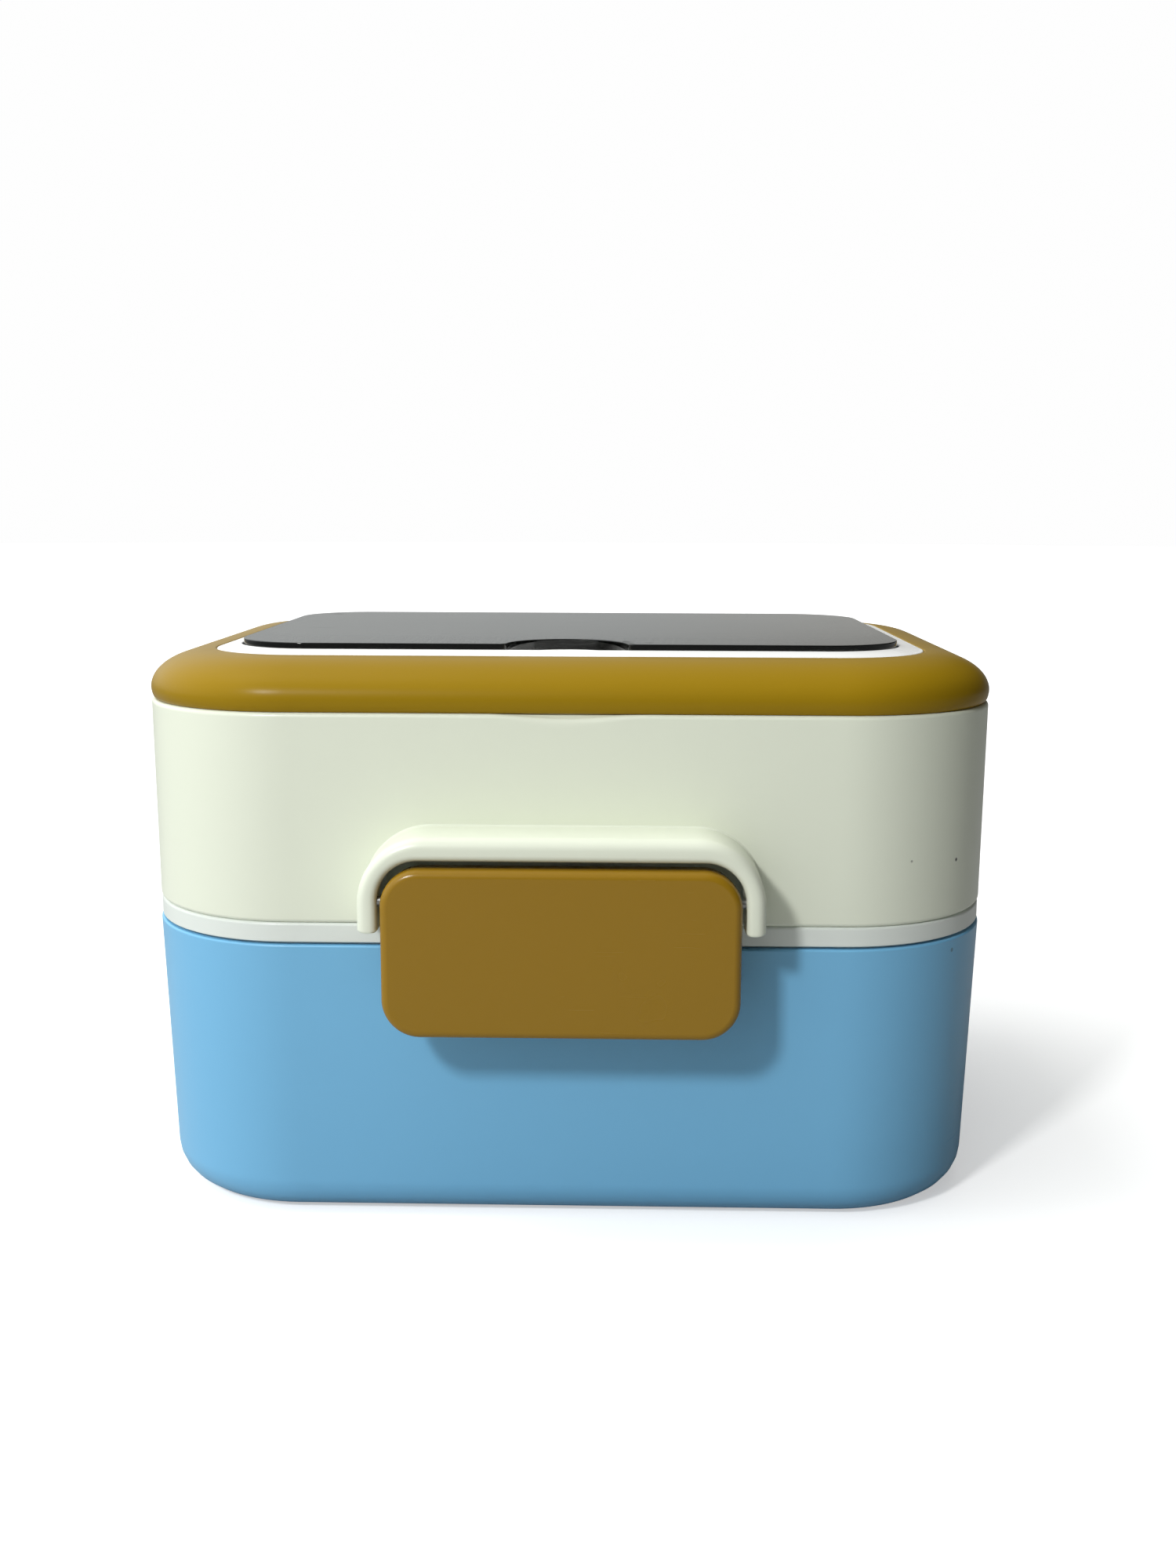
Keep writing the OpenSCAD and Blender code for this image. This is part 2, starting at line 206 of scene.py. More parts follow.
def new_object(name, bm):
    """Object made from a bmesh whose coordinates are in mm."""
    bmesh.ops.remove_doubles(bm, verts=bm.verts, dist=1e-4)
    bmesh.ops.recalc_face_normals(bm, faces=bm.faces)
    bmesh.ops.scale(bm, vec=(MM, MM, MM), verts=bm.verts)
    mesh = bpy.data.meshes.new(name)
    bm.to_mesh(mesh)
    bm.free()
    obj = bpy.data.objects.new(name, mesh)
    bpy.context.scene.collection.objects.link(obj)
    return obj


def add_loft(bm, rings, closed=False):
    """Skin over rings of equal length; the first and last are capped unless it closes on itself."""
    loops = [[bm.verts.new(p) for p in ring] for ring in rings]
    count = len(loops[0])
    pairs = list(zip(loops, loops[1:]))
    if closed:
        pairs.append((loops[-1], loops[0]))
    for a, b in pairs:
        for i in range(count):
            k = (i + 1) % count
            bm.faces.new((a[i], a[k], b[k], b[i]))
    if not closed:
        bm.faces.new(list(reversed(loops[0])))
        bm.faces.new(loops[-1])


def loft(name, rings, closed=False):
    bm = bmesh.new()
    add_loft(bm, rings, closed)
    return new_object(name, bm)


def apply_modifiers(obj):
    """Replaces the object's mesh with its evaluated one."""
    graph = bpy.context.evaluated_depsgraph_get()
    old = obj.data
    mesh = bpy.data.meshes.new_from_object(obj.evaluated_get(graph))
    obj.modifiers.clear()
    obj.data = mesh
    mesh.name = obj.name
    bpy.data.meshes.remove(old)


def combine(obj, tools, operation):
    """Boolean of obj with each tool in turn; the tools are removed."""
    for tool in tools:
        modifier = obj.modifiers.new(operation, "BOOLEAN")
        modifier.operation = operation
        modifier.object = tool
        modifier.solver = "EXACT"
    apply_modifiers(obj)
    for tool in tools:
        mesh = tool.data
        bpy.data.objects.remove(tool)
        bpy.data.meshes.remove(mesh)
    return obj


def half_turn(obj):
    """Copy of an object turned half round the box's upright axis."""
    copy = obj.copy()
    copy.data = obj.data.copy()
    copy.data.transform(Matrix.Rotation(math.pi, 4, "Z"))
    bpy.context.scene.collection.objects.link(copy)
    return copy


def smooth(obj, sharp_angle=38):
    """Smooth shading with sharp edges kept, and flat faces kept flat."""
    mesh = obj.data
    mesh.polygons.foreach_set("use_smooth", [True] * len(mesh.polygons))
    mesh.set_sharp_from_angle(angle=math.radians(sharp_angle))
    modifier = obj.modifiers.new("flat_faces", "WEIGHTED_NORMAL")
    modifier.keep_sharp = True
    modifier.weight = 80
    return obj


def place(obj, node, body, material):
    """Gives a finished piece its material and body, and hides the CAD node it stands for."""
    obj.data.materials.clear()
    obj.data.materials.append(material)
    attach(obj, body)
    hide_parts(node)
    return obj


# ------------------------------------------------------------------- materials

class Graph:
    """Short way to build a material's nodes."""

    def __init__(self, name):
        self.material = bpy.data.materials.new(name)
        self.material.use_nodes = True
        self.tree = self.material.node_tree
        self.shader = self.tree.nodes["Principled BSDF"]
        self.where = self.node("ShaderNodeTexCoord").outputs["Object"]

    def node(self, kind, **settings):
        made = self.tree.nodes.new(kind)
        for key, value in settings.items():
            setattr(made, key, value)
        return made

    def link(self, source, target):
        self.tree.links.new(source, target)

    def noise(self, scale, detail=2.0, stretch=(1, 1, 1), roughness=0.5):
        mapping = self.node("ShaderNodeMapping")
        mapping.inputs["Scale"].default_value = stretch
        self.link(self.where, mapping.inputs["Vector"])
        texture = self.node("ShaderNodeTexNoise")
        texture.inputs["Scale"].default_value = scale
        texture.inputs["Detail"].default_value = detail
        texture.inputs["Roughness"].default_value = roughness
        self.link(mapping.outputs["Vector"], texture.inputs["Vector"])
        return texture.outputs["Fac"]

    def range(self, source, low, high, out_low, out_high):
        made = self.node("ShaderNodeMapRange", clamp=True)
        sockets = ("From Min", "From Max", "To Min", "To Max")
        for key, value in zip(sockets, (low, high, out_low, out_high)):
            made.inputs[key].default_value = value
        self.link(source, made.inputs["Value"])
        return made.outputs["Result"]

    def math(self, operation, a, b):
        made = self.node("ShaderNodeMath", operation=operation)
        for socket, value in zip(made.inputs, (a, b)):
            if isinstance(value, (int, float)):
                socket.default_value = value
            else:
                self.link(value, socket)
        return made.outputs[0]

    def mix(self, factor, a, b):
        """Mix of two colours, each a socket or an RGB triple."""
        made = self.node("ShaderNodeMix", data_type="RGBA")
        self.link(factor, made.inputs[0])
        for socket, value in zip((made.inputs[6], made.inputs[7]), (a, b)):
            if isinstance(value, (tuple, list)):
                socket.default_value = (*value, 1)
            else:
                self.link(value, socket)
        return made.outputs[2]

    def bump(self, height, distance, before=None):
        made = self.node("ShaderNodeBump")
        made.inputs["Distance"].default_value = distance
        made.inputs["Strength"].default_value = 1.0
        self.link(height, made.inputs["Height"])
        if before is not None:
            self.link(before, made.inputs["Normal"])
        return made.outputs["Normal"]

    def scratches(self):
        """Sparse fine hairlines: level on walls, upright on side walls, along X on top faces, 0 to 1."""
        lines = [self.range(self.noise(34, 3, stretch, 0.6), 0.66, 0.70, 0, 1)
                 for stretch in ((1, 30, 1.5), (1.5, 1, 30))]
        either = self.math("MAXIMUM", *lines)
        patches = self.range(self.noise(26, 2), 0.50, 0.62, 0, 1)
        return self.math("MULTIPLY", either, patches)

    def worn_edges(self):
        pointiness = self.node("ShaderNodeNewGeometry").outputs["Pointiness"]
        return self.range(pointiness, 0.52, 0.60, 0, 1)

    def specks(self, scale, share):
        """Small sparse dots, 0 to 1."""
        cells = self.node("ShaderNodeTexVoronoi")
        cells.inputs["Scale"].default_value = scale
        self.link(self.where, cells.inputs["Vector"])
        dots = self.range(cells.outputs["Distance"], 0.035, 0.055, 1, 0)
        split = self.node("ShaderNodeSeparateColor")
        self.link(cells.outputs["Color"], split.inputs["Color"])
        chosen = self.range(split.outputs[0], share, share + 0.01, 1, 0)
        return self.math("MULTIPLY", dots, chosen)


def linear(red, green, blue):
    """Linear colour of an sRGB triple given from 0 to 255."""
    result = []
    for value in (red, green, blue):
        v = value / 255
        result.append(v / 12.92 if v <= 0.04045 else ((v + 0.055) / 1.055) ** 2.4)
    return tuple(result)


def shade(colour, factor):
    return tuple(min(1.0, c * factor) for c in colour)


def plastic(name, colour, gloss, peel=0.0000015, specks=0.0, shine=0.5, speck_colour=(0.05, 0.05, 0.045),
            wear_level=0.25):
    """Moulded plastic: uneven tone, orange peel, hairline scratches, polished edges and specks."""
    g = Graph(name)
    tone = g.range(g.noise(14, 4), 0.3, 0.7, 0, 1)
    body = g.mix(tone, shade(colour, 0.993), shade(colour, 1.007))
    cloud = g.range(g.noise(85, 3), 0.35, 0.65, 0, 0.5)
    body = g.mix(cloud, body, shade(colour, 0.992))
    wear = g.worn_edges()
    body = g.mix(g.math("MULTIPLY", wear, wear_level), body, shade(colour, 1.18))
    if specks:
        body = g.mix(g.specks(95, specks), body, speck_colour)
    g.link(body, g.shader.inputs["Base Color"])
    marks = g.scratches()
    rough = g.range(g.noise(60, 2), 0.3, 0.7, gloss - 0.01, gloss + 0.015)
    rough = g.math("ADD", rough, g.math("MULTIPLY", marks, 0.16))
    rough = g.math("SUBTRACT", rough, g.math("MULTIPLY", wear, wear_level / 5))
    g.link(rough, g.shader.inputs["Roughness"])
    grain = g.bump(g.noise(1500, 2), peel)
    grain = g.bump(g.noise(160, 2), peel * 3, grain)
    grain = g.bump(marks, -0.000004, grain)
    g.link(grain, g.shader.inputs["Normal"])
    g.shader.inputs["IOR"].default_value = 1.47
    g.shader.inputs["Specular IOR Level"].default_value = shine
    return g.material


def smoked_plastic(name):
    """Dark see-through plastic with fine hairlines and a little haze; its upright edge faces are painted
    near black, painted shade for light lost along the long path through the tint.
    """
    g = Graph(name)
    tint = g.range(g.noise(22, 3), 0.3, 0.7, 0, 1)
    flat = g.mix(tint, (0.150, 0.156, 0.142), (0.175, 0.182, 0.166))
    # mask of upright faces, used for the painted shade on the cover's edges
    edge_shade_normal = g.node("ShaderNodeSeparateXYZ")
    g.link(g.node("ShaderNodeNewGeometry").outputs["Normal"], edge_shade_normal.inputs["Vector"])
    level = g.range(g.math("ABSOLUTE", edge_shade_normal.outputs["Z"], 0.0), 0.75, 0.98, 0, 1)
    # painted shade: upright faces get a near-black base for the dark look of the long path through the
    # tinted plastic; level faces keep the tint
    g.link(g.mix(level, (0.004, 0.005, 0.004), flat), g.shader.inputs["Base Color"])
    marks = g.scratches()
    haze = g.range(g.noise(70, 4), 0.3, 0.7, 0.015, 0.05)
    g.link(g.math("ADD", haze, g.math("MULTIPLY", marks, 0.2)), g.shader.inputs["Roughness"])
    normal = g.bump(g.noise(55, 2), 0.000006)
    normal = g.bump(marks, -0.000003, normal)
    g.link(normal, g.shader.inputs["Normal"])
    g.shader.inputs["Transmission Weight"].default_value = 0.9
    g.shader.inputs["IOR"].default_value = 1.49
    return g.material


def silicone(name):
    """Soft milky rubber with a dusty bloom."""
    g = Graph(name)
    tone = g.range(g.noise(40, 4), 0.3, 0.7, 0, 1)
    g.link(g.mix(tone, (0.62, 0.65, 0.62), (0.74, 0.76, 0.73)), g.shader.inputs["Base Color"])
    g.link(g.range(g.noise(220, 4), 0.3, 0.7, 0.42, 0.62), g.shader.inputs["Roughness"])
    g.link(g.bump(g.noise(900, 3), 0.00001), g.shader.inputs["Normal"])
    g.shader.inputs["IOR"].default_value = 1.41
    return g.material


def pin_steel(name):
    """Drawn steel wire with fine lines along its length."""
    g = Graph(name)
    lines = g.noise(220, 4, (0.04, 6, 6))
    g.link(g.mix(lines, (0.26, 0.26, 0.25), (0.38, 0.38, 0.37)), g.shader.inputs["Base Color"])
    g.link(g.range(lines, 0.3, 0.7, 0.34, 0.52), g.shader.inputs["Roughness"])
    g.link(g.bump(lines, 0.000008), g.shader.inputs["Normal"])
    g.shader.inputs["Metallic"].default_value = 1.0
    return g.material


BLUE = plastic("sky_blue_plastic", linear(120, 186, 226), 0.34, specks=0.05)
CREAM = plastic("cream_plastic", linear(230, 235, 217), 0.30, specks=0.06, wear_level=0)
WHITE = plastic("white_plastic", linear(224, 230, 224), 0.31, specks=0.04)
TRAY_WHITE = plastic("tray_white_plastic", linear(252, 252, 250), 0.31, specks=0.04)
LID_MUSTARD = plastic("mustard_lid_plastic", linear(151, 120, 17), 0.30, peel=0.000003, specks=0.05,
                      shine=0.12)
LATCH_MUSTARD = plastic("mustard_latch_plastic", linear(148, 113, 22), 0.24, peel=0.0000025, specks=0.05,
                        shine=0.38)
CUTLERY = plastic("cutlery_mustard_plastic", linear(164, 128, 42), 0.36)
SMOKED = smoked_plastic("smoked_cover_plastic")
SILICONE = silicone("seal_silicone")
STEEL = pin_steel("hinge_pin_steel")


# ---------------------------------------------------------------------- pieces

def tier_margin(z, z0, z1, foot, top):
    """Margin of a leaning wall at height z."""
    return foot + (top - foot) * (z - z0) / (z1 - z0)


def rounded_block(name, low, high, radius, steps=3):
    """Block with every edge rounded."""
    bm = bmesh.new()
    bmesh.ops.create_cube(bm, size=1)
    size = Vector(high) - Vector(low)
    bmesh.ops.scale(bm, vec=size, verts=bm.verts)
    bmesh.ops.translate(bm, vec=(Vector(high) + Vector(low)) / 2, verts=bm.verts)
    bmesh.ops.bevel(bm, geom=bm.edges[:], offset=radius, segments=steps, profile=0.5, affect="EDGES")
    return new_object(name, bm)


def rib(name, x, width, outline, radius=0.5):
    """Upright web: an outline of (y, z) points with a thickness along X, edges rounded."""
    bm = bmesh.new()
    faces = []
    for side in (x - width / 2, x + width / 2):
        faces.append([bm.verts.new((side, y, z)) for y, z in outline])
    count = len(outline)
    bm.faces.new(faces[0])
    bm.faces.new(list(reversed(faces[1])))
    for i in range(count):
        k = (i + 1) % count
        bm.faces.new((faces[0][k], faces[0][i], faces[1][i], faces[1][k]))
    bmesh.ops.recalc_face_normals(bm, faces=bm.faces)
    bmesh.ops.bevel(bm, geom=bm.edges[:], offset=radius, segments=2, profile=0.5, affect="EDGES")
    return new_object(name, bm)


def bar(name, y, z, radius, x0, x1, chamfer, around=40):
    """Round bar along X with rounded ends."""
    profile = rounded_path([
        (x0, 0.02), (x0, radius, chamfer), (x1, radius, chamfer), (x1, 0.02),
    ])
    rings = []
    for x, r in profile:
        turns = [2 * math.pi * i / around for i in range(around)]
        rings.append([(x, y + r * math.cos(a), z + r * math.sin(a)) for a in turns])
    return loft(name, rings)


def catch_ledge():
    """Ledge on the lower wall with its webs; the latch's hook passes under it."""
    root = -WALL_Y + WALL_T - 0.6
    front = -WALL_Y - CATCH_OUT
    top = CATCH_Z + CATCH_H
    half = CATCH_W / 2
    parts = [rounded_block("ledge", (-half, front, CATCH_Z), (half, root, top), 0.7)]
    for side in (-1, 0, 1):
        outline = [
            (front + 1, top - 0.8), (root, top - 0.8),
            (root, top + 2.6), (-WALL_Y - 0.5, top + 2.6),
        ]
        parts.append(rib("web", side * (half - 1), 2, outline))
    return parts


def lower_tier():
    """Blue bowl: leaning walls, a large round at the foot, a stepped base and two ledges."""
    profile = rounded_path([
        (24, 0.8), (19.5, 0.8, 0.3), (18.6, 0.0, 0.3), (BOWL_M + BOWL_DRAFT, 0.0, 11),
        (BOWL_M, BOWL_Z, 0.5), (BOWL_M + WALL_T, BOWL_Z, 0.6),
        (BOWL_M + BOWL_DRAFT + WALL_T, FLOOR_T, 8.6), (24, FLOOR_T),
    ])
    bowl = loft("lower_tier_bowl", [box_ring(m, z) for m, z in profile])
    ledges = catch_ledge()
    ledges += [half_turn(part) for part in ledges]
    combine(bowl, ledges, "UNION")
    place(smooth(bowl), "lower_tier", "lower_tier", BLUE)


def inner_lid():
    """White lid of the lower tier: rolled rim, sunk panel and a plug with a seal groove."""
    plug = BOWL_M + WALL_T + PLUG_GAP
    groove_z = INNER_SEAL_LOW.z
    profile = rounded_path([
        (30, BOWL_Z), (10, BOWL_Z, 0.8), (10, UPPER_Z - 2.2, 0.8), (plug + PLUG_T, UPPER_Z - 2.2, 0.6),
        (plug + PLUG_T, INNER_LOW.z, 0.6), (plug, INNER_LOW.z, 0.6), (plug, groove_z, 0.15),
        (plug + GROOVE_DEEP, groove_z, 0.2), (plug + GROOVE_DEEP, groove_z + INNER_GROOVE_H, 0.2),
        (plug, groove_z + INNER_GROOVE_H, 0.15),
        (plug, BOWL_Z, 0.2), (1.9, BOWL_Z, 0.1), (1.7, BOWL_Z + SEAM_GAP, 0.1),
        (0.5, BOWL_Z + SEAM_GAP, 0.25), (0.5, UPPER_Z, 0.75),
        (12, UPPER_Z, 0.8), (12, BOWL_Z + 2.2, 1.0), (26, BOWL_Z + 2.2, 0.3),
        (26.6, BOWL_Z + 2.6, 0.3), (44, BOWL_Z + 2.6),
    ])
    lid = loft("inner_lid_panel", [box_ring(m, z) for m, z in profile])
    place(smooth(lid), "lower_lid", "inner_lid", WHITE)


def seal(name, node, body, low, high):
    """Silicone ring with two soft lips that reach the wall."""
    outer = low.x - LID_LOW.x
    inner = outer + 2.0 + 0.1
    z0, z1 = low.z, high.z
    middle = (z0 + z1) / 2
    profile = rounded_path([
        (outer + 0.5, z0, 0.2), (inner, z0, 0.3), (inner, z1, 0.3), (outer + 0.5, z1, 0.2),
        (outer, z1 - 0.35, 0.2), (outer + 0.7, middle, 0.3), (outer, z0 + 0.35, 0.2),
    ], closed=True)
    ring = loft(name, [box_ring(m, z) for m, z in profile], closed=True)
    place(smooth(ring), node, body, SILICONE)


def scoop(x, y, z, margin):
    """Height lost at a point of the upper rim in the finger scoop."""
    half, edge_drop, round_drop = 17.0, 0.75, 1.75
    round_h, fade_h = 0.9, 5        # heights of the rim's round and of the fade below it
    if y > 0 or abs(x) >= half or margin > 1.3:
        return 0
    along = math.cos(math.pi * x / (2 * half)) ** 2
    down = RIM_Z - z
    if down < round_h:
        drop = edge_drop + (round_drop - edge_drop) * down / round_h
    else:
        t = min(1, (down - round_h) / fade_h)
        drop = round_drop * (1 - t) ** 2
    return along * drop


def hood():
    """Arch moulded on the front wall: full rounds outside, crisp lip inside, blended at its root."""
    stations = []
    outer_x, inner_x = HOOD_W / 2, HOOD_W / 2 - LEG_T
    outer_c = (outer_x - HOOD_CORNER, HOOD_TOP - HOOD_CORNER)
    inner_c = (inner_x - HOOD_INNER_CORNER, HOOD_LIP - HOOD_INNER_CORNER)
    leg_steps, top_steps = 10, 12
    for i in range(leg_steps):
        t = i / leg_steps
        outer_z = LEG_BOTTOM + (outer_c[1] - LEG_BOTTOM) * t
        inner_z = LEG_BOTTOM + (inner_c[1] - LEG_BOTTOM) * t
        stations.append(((-outer_x, outer_z), (-inner_x, inner_z)))
    for i in range(CORNER_STEPS + 1):
        a = math.radians(180 - 90 * i / CORNER_STEPS)
        outer = (-outer_c[0] + HOOD_CORNER * math.cos(a), outer_c[1] + HOOD_CORNER * math.sin(a))
        inner = (-inner_c[0] + HOOD_INNER_CORNER * math.cos(a),
                 inner_c[1] + HOOD_INNER_CORNER * math.sin(a))
        stations.append((outer, inner))
    for i in range(1, top_steps // 2):
        t = 1 - i / (top_steps / 2)
        stations.append(((-outer_c[0] * t, HOOD_TOP), (-inner_c[0] * t, HOOD_LIP)))
    middle = [((0, HOOD_TOP), (0, HOOD_LIP))]
    mirrored = [((-o[0], o[1]), (-i[0], i[1])) for o, i in reversed(stations)]
    stations = stations + middle + mirrored
    stand = -WALL_Y - HOOD_OUT
    ends = [(0.62, 0.0), (0.86, 0.12), (1.0, 0.5)]      # size and lift of the rings at a leg's foot
    rings = [hood_section(outer, inner, stand, 1.0, 0.0) for outer, inner in stations]
    start = [hood_section(*stations[0], stand, size, up) for size, up in ends]
    finish = [hood_section(*stations[-1], stand, size, up) for size, up in reversed(ends)]
    return loft("hood", start + rings[1:-1] + finish)


def hood_section(outer, inner, stand, size, up):
    """Ring across the hood from its inner edge to its outer edge, standing out of the wall."""
    outer, inner = Vector(outer), Vector(inner)
    width = (outer - inner).length
    way = (outer - inner) / width
    wall = tier_margin(outer.y, UPPER_Z, RIM_Z, UPPER_M + UPPER_DRAFT, UPPER_M)
    root = 1.2                      # how deep the hood sits in the wall
    path = rounded_path([
        (0, -root), (0, stand, 1.5), (width, stand, 2.9), (width, 0.35 - wall, 0.5),
        (width + 1.0, -wall - 0.65), (width + 1.0, -root),
    ])
    ring = []
    for a, b in path:
        a = width / 2 + (a - width / 2) * size
        b = b - (1 - size) * (1.2 if b > 1 else 0)
        spot = inner + way * a
        ring.append((spot.x, -WALL_Y - b, spot.y + up))
    return ring


def upper_tier():
    """Cream bowl with the finger scoop, two hoods with pin holes, and a ring foot."""
    foot_m = UPPER_M + UPPER_DRAFT
    foot_z = UPPER_LOW.z
    profile = rounded_path([
        (24, UPPER_Z), (16, UPPER_Z, 0.4), (16, foot_z, 0.4), (13, foot_z, 0.4), (13, UPPER_Z, 0.4),
        (foot_m, UPPER_Z, 0.9), (UPPER_M, RIM_Z, 0.9), (UPPER_M + WALL_T, RIM_Z, 0.7),
        (foot_m + WALL_T, UPPER_Z + FLOOR_T, 3.2), (24, UPPER_Z + FLOOR_T),
    ])
    fine = []
    for (m0, z0), (m1, z1) in zip(profile, profile[1:]):
        fine.append((m0, z0))
        if abs(z1 - z0) > 20 and m0 < 1:
            for down in (7, 5.4, 4, 3, 2.2, 1.6, 1.2):
                z = RIM_Z - down
                fine.append((m0 + (m1 - m0) * (z - z0) / (z1 - z0), z))
    fine.append(profile[-1])
    rings = []
    for m, z in fine:
        drop = [scoop(x, y, z, m) if z > RIM_Z - 8 else 0 for x, y, z in box_ring(m, z)]
        rings.append([(x, y, z - d) for (x, y, z), d in zip(box_ring(m, z), drop)])
    bowl = loft("upper_tier_bowl", rings)
    front = hood()
    combine(bowl, [front, half_turn(front)], "UNION")
    hole = bar("pin_hole", PIN_Y, PIN_Z, PIN_R + BORE_SLACK, 1.2 - HOOD_W / 2, HOOD_W / 2 + 2, 0)
    combine(bowl, [hole, half_turn(hole)], "DIFFERENCE")
    place(smooth(bowl), "upper_tier", "upper_tier", CREAM)


def hinge_pin(node, body, rear):
    pin = bar(node + "_wire", PIN_Y, PIN_Z, PIN_R, PIN_LOW.x, PIN_HIGH.x, 0.25, 28)
    if rear:
        pin.data.transform(Matrix.Rotation(math.pi, 4, "Z"))
    place(smooth(pin), node, body, STEEL)


def latch_skirt():
    """Arch-shaped skirt behind the plate's upper edge and sides, with softened edges."""
    inset, thick, deep, low = 0.6, 1.6, 5.0, 60.0
    back = LATCH_LOW.y + LATCH_T
    top = LATCH_HIGH.z - inset
    half = LATCH_W / 2 - inset
    r = LATCH_CORNER - inset
    path = [(-1, 0, -half, low), (-1, 0, -half, top - r)]
    for i in range(1, 12):
        a = math.radians(180 - 90 * i / 12)
        path.append((math.cos(a), math.sin(a), -half + r + r * math.cos(a), top - r + r * math.sin(a)))
    path += [(0, 1, x, top) for x in (-half + r, -10, 0, 10, half - r)]
    for i in range(1, 12):
        a = math.radians(90 - 90 * i / 12)
        path.append((math.cos(a), math.sin(a), half - r + r * math.cos(a), top - r + r * math.sin(a)))
    path += [(1, 0, half, top - r), (1, 0, half, low)]
    section = rounded_path([(0, -0.5), (0, deep, 0.4), (thick, deep, 0.4), (thick, -0.5)])
    return loft("skirt", [[(x - nx * a, back + b, z - nz * a) for a, b in section] for nx, nz, x, z in path])


def latch(node, body, rear):
    """Plate with a round all along its outer edge; skirt, knuckles, hook and webs behind."""
    middle_z = (LATCH_HIGH.z + LATCH_LOW.z) / 2
    back = LATCH_LOW.y + LATCH_T
    profile = rounded_path([
        (14, back), (4.5, back, 0.2), (4.2, back - 0.4, 0.2), (2.6, back - 0.4, 0.2), (2.3, back, 0.2),
        (0, back, 0.5), (0, LATCH_LOW.y, 1.7), (14, LATCH_LOW.y),
    ])
    rings = []
    for m, y in profile:
        outline = rounded_rect(LATCH_W - 2 * m, LATCH_H - 2 * m, LATCH_CORNER - min(m, 7.4), 24)
        rings.append([(u, y, v + middle_z) for u, v in outline])
    plate = loft(node + "_plate", rings)
    parts = [latch_skirt()]
    for x0 in KNUCKLE_STARTS:
        parts.append(bar("knuckle", PIN_Y, PIN_Z, BARREL_R, x0, x0 + KNUCKLE_L, 0.5))
    hook_y = -WALL_Y - CATCH_OUT - HOOK_GAP
    arm_z = CATCH_Z - HOOK_GAP - HOOK_H
    half = HOOK_W / 2
    parts.append(rounded_block("arm", (-half, back - 1, arm_z), (half, hook_y, arm_z + HOOK_H), 0.6))
    for side in (-1, 0, 1):
        outline = [
            (back - 1, arm_z + 1), (hook_y - 0.4, arm_z + 1),
            (hook_y - 3, arm_z + HOOK_H + 3), (back - 1, arm_z + HOOK_H + 7),
        ]
        parts.append(rib("web", side * (half - 1), 2, outline, 0.4))
    combine(plate, parts, "UNION")
    hole = bar("bore", PIN_Y, PIN_Z, PIN_R + BORE_SLACK, -HOOD_W / 2, HOOD_W / 2, 0)
    combine(plate, [hole], "DIFFERENCE")
    if rear:
        plate.data.transform(Matrix.Rotation(math.pi, 4, "Z"))
    place(smooth(plate), node, body, LATCH_MUSTARD)


def dome_corner(margin):
    """Plan corner radius on the dome, easing from the box's corner to the white rim's."""
    t = min(1, max(0, margin / RIM_MARGIN))
    return CORNER_R - margin + (RIM_CORNER - CORNER_R + RIM_MARGIN) * t * t


def lid_frame():
    """Mustard domed ring with a tucked-in foot and a flat lip inside."""
    shoulder = RIM_Z + SHOULDER_H
    skin = 2.4
    outer = []
    for i in range(1, 7):
        t = math.pi / 2 * i / 6
        outer.append((1.2 * (1 - math.sin(t)), shoulder - SHOULDER_H * math.cos(t)))
    dome = []
    for i in range(1, 25):
        t = math.pi / 2 * i / 24
        dome.append((RIM_MARGIN * (1 - math.cos(t)), shoulder + (DOME_Z - shoulder) * math.sin(t)))
    inside = []
    for i in range(12, -1, -1):
        t = math.pi / 2 * i / 12
        m = skin + (RIM_MARGIN - skin) * (1 - math.cos(t))
        z = shoulder + (DOME_Z - skin - shoulder) * math.sin(t)
        if m < RIM_MARGIN - LIP_REACH:
            inside.append((m, z))
    profile = [(1.45, RIM_Z), (1.2, RIM_Z + 0.12)] + outer + dome[:-1]
    profile += rounded_path([(RIM_MARGIN - 1.0, DOME_Z - 0.02), (RIM_MARGIN, DOME_Z, 0.3),
                             (RIM_MARGIN, DOME_Z - LIP_H, 0.3),
                             (RIM_MARGIN - LIP_REACH, DOME_Z - LIP_H)])
    profile += inside + [(3.6, shoulder), (3.6, RIM_Z + 0.3), (3.3, RIM_Z)]
    rings = [box_ring(m, z, dome_corner(m)) for m, z in profile]
    ring = loft("lid_dome_frame", rings, closed=True)
    place(smooth(ring), "lid_frame", "lid", LID_MUSTARD)


def recess_ring(grow, z):
    w, d = RECESS_SIZE
    outline = rounded_rect(w + 2 * grow, d + 2 * grow, RECESS_R + grow, centre=(0, RECESS_MID))
    return [(x, y, z) for x, y in outline]


def rim_corner(margin):
    """Plan corner radius across the white rim, from its outer edge to the cover's seat."""
    seat = COVER_MARGIN - 0.4
    t = (margin - RIM_MARGIN) / (seat - RIM_MARGIN)
    return RIM_CORNER + (COVER_CORNER + 0.4 - RIM_CORNER) * t


